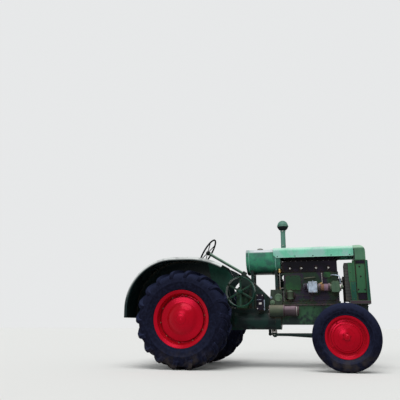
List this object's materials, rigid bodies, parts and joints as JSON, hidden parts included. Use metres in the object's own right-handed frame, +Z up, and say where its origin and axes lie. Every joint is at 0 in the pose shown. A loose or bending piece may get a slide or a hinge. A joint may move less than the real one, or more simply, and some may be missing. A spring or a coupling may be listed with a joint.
{
  "type": "vintage tractor",
  "caption": "Standard-tread farm tractor on rubber tyres, with disc wheels, full fenders, belt pulley, open engine and tall intake stack.",
  "frame": {"origin": "on the ground, midway between the rear of the fenders and the front of the front tyres, in the middle plane", "axes": "+X forward, +Y to the tractor's left, +Z up"},
  "size_m": [3.489, 1.72, 2.158],
  "materials": {
    "green_paint": "faded and dusty dark green paint on cast iron",
    "dark_green_paint": "dark green paint gone dull, with oil and soil",
    "pale_green_paint": "sun-bleached pale green paint on sheet steel",
    "red_paint": "satin red paint with a little grime",
    "dark_iron": "oily dark cast iron",
    "rusty_iron": "rusty cast iron",
    "aluminium": "dull cast aluminium",
    "plug_ceramic": "white glazed ceramic",
    "belt_rubber": "matt rubber belt",
    "black_plastic": "worn hard rubber",
    "steel": "bare steel",
    "brown_paint": "dull brown paint",
    "tyre": "dark weathered tyre rubber"
  },
  "bodies": {
    "chassis": {"transmission_case": "green_paint", "rear_axle_housing": "green_paint", "clutch_housing": "green_paint", "front_frame": "green_paint", "front_bolster": "green_paint", "engine_block": "green_paint", "cylinder_head": "dark_iron", "spark_plugs": "plug_ceramic", "exhaust_manifold": "rusty_iron", "carburettor": "aluminium", "air_cleaner": "green_paint", "air_stack": "pale_green_paint", "water_pump": "green_paint", "fan_belt": "belt_rubber", "magneto": "aluminium", "governor_drive": "green_paint", "oil_filter": "green_paint", "starter": "brown_paint", "side_box": "dark_iron", "fuel_tank": "pale_green_paint", "tank_cradle": "green_paint", "hood": "pale_green_paint", "radiator_tanks": "pale_green_paint", "radiator_core": "dark_iron", "radiator_sides": "green_paint", "radiator_grille": "green_paint", "steering_gear": "dark_green_paint", "steering_column": "pale_green_paint", "front_axle": "dark_green_paint", "radius_rods": "dark_green_paint", "fenders": "green_paint", "platform": "dark_green_paint", "seat": "dark_green_paint", "seat_spring": "dark_green_paint", "pulley_gearbox": "green_paint", "drawbar": "dark_green_paint", "levers_pedals": "dark_green_paint", "pto_shaft": "steel"},
    "rear_wheel_left": {"rear_tyre_left": "tyre", "rear_wheel_left": "red_paint"},
    "rear_wheel_right": {"rear_tyre_right": "tyre", "rear_wheel_right": "red_paint"},
    "front_wheel_left": {"front_tyre_left": "tyre", "front_wheel_left": "red_paint"},
    "front_wheel_right": {"front_tyre_right": "tyre", "front_wheel_right": "red_paint"},
    "knuckle_left": {"knuckle_left": "dark_green_paint"},
    "knuckle_right": {"knuckle_right": "dark_green_paint"},
    "tie_rod": {"tie_rod": "dark_green_paint"},
    "drag_link": {"drag_link": "dark_green_paint"},
    "drop_arm": {"drop_arm": "dark_green_paint"},
    "steering_wheel": {"steering_wheel": "black_plastic"},
    "belt_pulley": {"belt_pulley": "green_paint"},
    "fan": {"fan": "dark_green_paint"}
  },
  "joints": [
    {"name": "rear_spin_left", "type": "hinge", "parent": "chassis", "child": "rear_wheel_left", "pos_m": [-0.8995, 0.68, 0.68], "axis": [0, 1, 0], "continuous": true},
    {"name": "rear_spin_right", "type": "hinge", "parent": "chassis", "child": "rear_wheel_right", "pos_m": [-0.8995, -0.68, 0.68], "axis": [0, 1, 0], "continuous": true},
    {"name": "steer_left", "type": "hinge", "parent": "chassis", "child": "knuckle_left", "pos_m": [1.3005, 0.53, 0.444], "axis": [0, 0, 1], "range_deg": [-30, 30]},
    {"name": "steer_right", "type": "hinge", "parent": "chassis", "child": "knuckle_right", "pos_m": [1.3005, -0.53, 0.444], "axis": [0, 0, 1], "range_deg": [-30, 30]},
    {"name": "tie_rod_pivot", "type": "hinge", "parent": "knuckle_left", "child": "tie_rod", "pos_m": [1.1305, 0.53, 0.316], "axis": [0, 0, 1], "range_deg": [-30, 30]},
    {"name": "drag_link_pivot", "type": "hinge", "parent": "knuckle_left", "child": "drag_link", "pos_m": [1.3005, 0.25, 0.398], "axis": [0, 0, 1], "range_deg": [-30, 30]},
    {"name": "drop_arm_swing", "type": "hinge", "parent": "chassis", "child": "drop_arm", "pos_m": [0.2105, 0.2, 0.892], "axis": [0, 1, 0], "range_deg": [-20, 20]},
    {"name": "steering_turn", "type": "hinge", "parent": "chassis", "child": "steering_wheel", "pos_m": [-0.70837, 0, 1.69923], "axis": [0.8572, 0, -0.515], "range_deg": [-360, 360]},
    {"name": "front_spin_left", "type": "hinge", "parent": "knuckle_left", "child": "front_wheel_left", "pos_m": [1.3005, 0.62, 0.444], "axis": [0, 1, 0], "continuous": true},
    {"name": "front_spin_right", "type": "hinge", "parent": "knuckle_right", "child": "front_wheel_right", "pos_m": [1.3005, -0.62, 0.444], "axis": [0, 1, 0], "continuous": true},
    {"name": "belt_pulley_spin", "type": "hinge", "parent": "chassis", "child": "belt_pulley", "pos_m": [-0.1275, -0.416, 1.064], "axis": [0, 1, 0], "continuous": true},
    {"name": "fan_spin", "type": "hinge", "parent": "chassis", "child": "fan", "pos_m": [1.3625, 0, 1.215], "axis": [1, 0, 0], "continuous": true}
  ],
  "couplings": [
    {"joint": "steer_right", "follows": "steer_left", "ratio": 1},
    {"joint": "tie_rod_pivot", "follows": "steer_left", "ratio": -1},
    {"joint": "drag_link_pivot", "follows": "steer_left", "ratio": -1},
    {"joint": "drop_arm_swing", "follows": "steer_left", "ratio": -0.65116},
    {"joint": "steering_turn", "follows": "steer_left", "ratio": -12}
  ]
}
